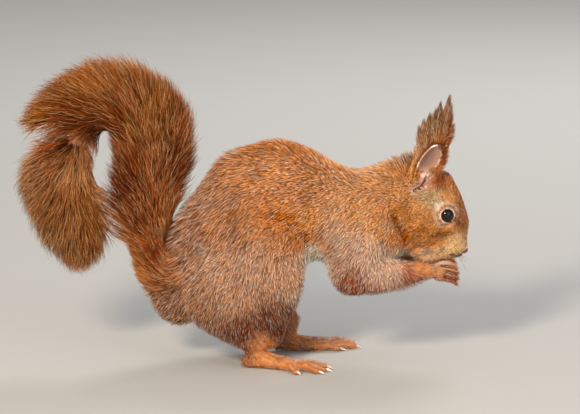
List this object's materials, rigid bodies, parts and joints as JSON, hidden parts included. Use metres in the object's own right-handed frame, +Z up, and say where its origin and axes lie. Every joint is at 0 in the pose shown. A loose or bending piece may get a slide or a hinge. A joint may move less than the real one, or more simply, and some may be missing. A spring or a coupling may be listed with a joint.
{
  "type": "red squirrel model",
  "caption": "Life-size still model of a red squirrel crouched on its hind feet, forepaws held to its mouth, bushy tail raised, arched and hanging behind.",
  "frame": {"origin": "middle of the model's footprint box, at floor level", "axes": "+X the way the animal faces, +Y its left side, +Z up"},
  "size_m": [0.2862, 0.0964, 0.1963],
  "materials": {
    "body_coat": "dense short fur over flesh",
    "tail_coat": "long loose fur",
    "foot": "short flat fur, pale claws",
    "ear": "thin skin, short fur outside",
    "ear_tuft": "long straight hair",
    "eye": "wet gloss",
    "nose": "moist bare skin"
  },
  "bodies": {
    "root": {"trunk": "body_coat", "neck": "body_coat", "head": "body_coat", "lower_jaw": "body_coat", "nose": "nose", "eye_right": "eye", "eye_left": "eye", "ear_right": "ear", "ear_left": "ear", "ear_tuft_right": "ear_tuft", "ear_tuft_left": "ear_tuft", "tail_root": "tail_coat", "tail_rise": "tail_coat", "tail_arch": "tail_coat", "tail_fold": "tail_coat", "tail_tip": "tail_coat", "thigh_right": "body_coat", "thigh_left": "body_coat", "shank_right": "body_coat", "shank_left": "body_coat", "hind_foot_right": "foot", "hind_foot_left": "foot", "upper_arm_right": "body_coat", "upper_arm_left": "body_coat", "forearm_right": "body_coat", "forearm_left": "body_coat", "hand_right": "foot", "hand_left": "foot"}
  },
  "joints": []
}
